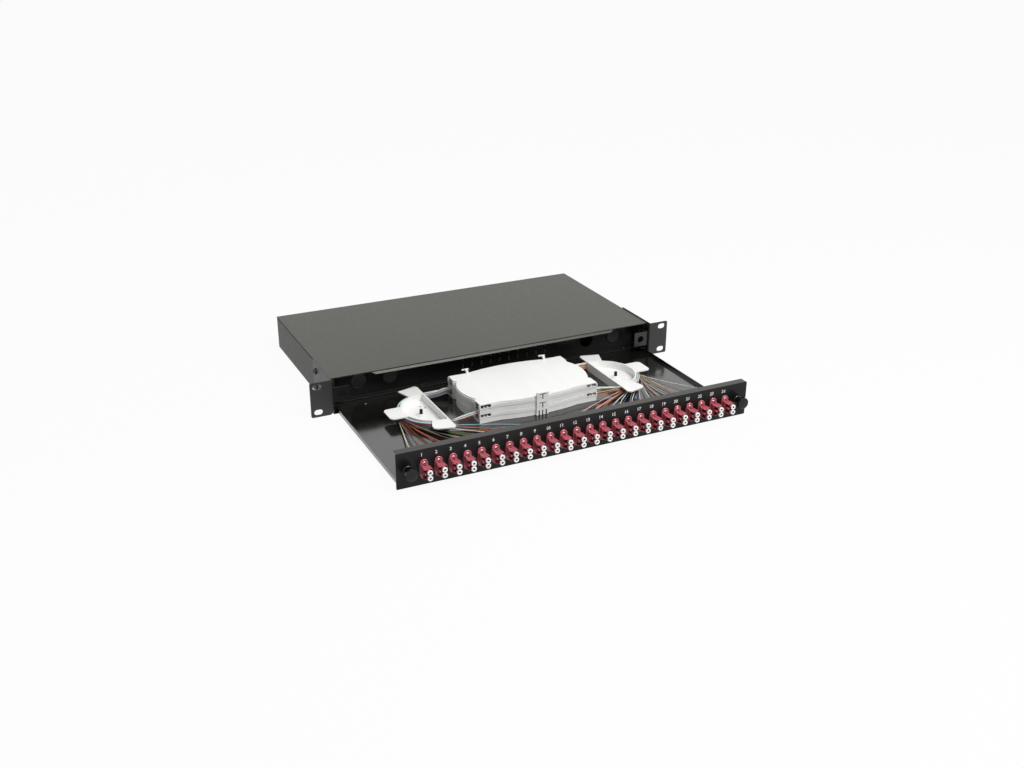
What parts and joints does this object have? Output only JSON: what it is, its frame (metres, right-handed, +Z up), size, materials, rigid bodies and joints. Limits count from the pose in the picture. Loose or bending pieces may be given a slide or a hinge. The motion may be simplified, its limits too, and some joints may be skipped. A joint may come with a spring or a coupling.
{
  "type": "sliding fibre patch panel",
  "caption": "Rack-mount fibre patch panel with a pulled-out drawer, duplex adapters, cable spools and stacked splice cassettes under a lift-off lid.",
  "frame": {"origin": "middle of the underside of the box around the panel with its drawer pulled out", "axes": "+X to the right seen from the front, +Y to the rear of the rack, +Z up"},
  "size_m": [0.4826, 0.462, 0.0436],
  "materials": {
    "housing_paint": "satin",
    "ear_paint": "satin",
    "black_nylon": "satin",
    "black_rubber": "matt",
    "white_plastic": "satin",
    "grey_rubber": "matt",
    "heather_plastic": "gloss",
    "fibre_jacket": "satin"
  },
  "bodies": {
    "housing": {"housing_shell": "housing_paint", "top_cover": "housing_paint", "rack_ear_left": "ear_paint", "rack_ear_right": "ear_paint", "guide_rail_left": "black_nylon", "guide_rail_right": "black_nylon", "latch_bracket_left": "ear_paint", "latch_bracket_right": "ear_paint"},
    "drawer": {"drawer_tray": "housing_paint", "tray_rear_wall": "housing_paint", "front_panel": "ear_paint", "entry_plug_left": "black_rubber", "entry_plug_right": "black_rubber", "adapter_01": "heather_plastic", "adapter_02": "heather_plastic", "adapter_03": "heather_plastic", "adapter_04": "heather_plastic", "adapter_05": "heather_plastic", "adapter_06": "heather_plastic", "adapter_07": "heather_plastic", "adapter_08": "heather_plastic", "adapter_09": "heather_plastic", "adapter_10": "heather_plastic", "adapter_11": "heather_plastic", "adapter_12": "heather_plastic", "adapter_13": "heather_plastic", "adapter_14": "heather_plastic", "adapter_15": "heather_plastic", "adapter_16": "heather_plastic", "adapter_17": "heather_plastic", "adapter_18": "heather_plastic", "adapter_19": "heather_plastic", "adapter_20": "heather_plastic", "adapter_21": "heather_plastic", "adapter_22": "heather_plastic", "adapter_23": "heather_plastic", "adapter_24": "heather_plastic", "plunger_grommet_left": "black_nylon", "plunger_grommet_right": "black_nylon", "cassette_lower": "white_plastic", "cassette_upper": "white_plastic", "splice_holder_lower": "grey_rubber", "splice_holder_upper": "grey_rubber", "cable_spool_left": "white_plastic", "cable_spool_right": "white_plastic", "spool_stud_left": "black_nylon", "spool_stud_right": "black_nylon", "pigtail_loop_left": "fibre_jacket", "pigtail_loop_right": "fibre_jacket", "pigtail_fan_outer_left": "fibre_jacket", "pigtail_fan_outer_right": "fibre_jacket", "pigtail_fan_middle_left": "fibre_jacket", "pigtail_fan_middle_right": "fibre_jacket", "pigtail_fan_inner_left": "fibre_jacket", "pigtail_fan_inner_right": "fibre_jacket"},
    "cassette_lid": {"cassette_lid": "white_plastic"},
    "plunger_left": {"plunger_knob_left": "black_nylon"},
    "plunger_right": {"plunger_knob_right": "black_nylon"}
  },
  "joints": [
    {"name": "drawer_slide", "type": "slide", "parent": "housing", "child": "drawer", "axis": [0, 1, 0], "range_m": [0, 0.2054]},
    {"name": "plunger_left_slide", "type": "slide", "parent": "drawer", "child": "plunger_left", "axis": [0, 1, 0], "range_m": [0, 0.0049]},
    {"name": "plunger_right_slide", "type": "slide", "parent": "drawer", "child": "plunger_right", "axis": [0, 1, 0], "range_m": [0, 0.0049]},
    {"name": "cassette_lid_lift", "type": "slide", "parent": "drawer", "child": "cassette_lid", "axis": [0, 0, 1], "range_m": [0, 0.008]}
  ]
}
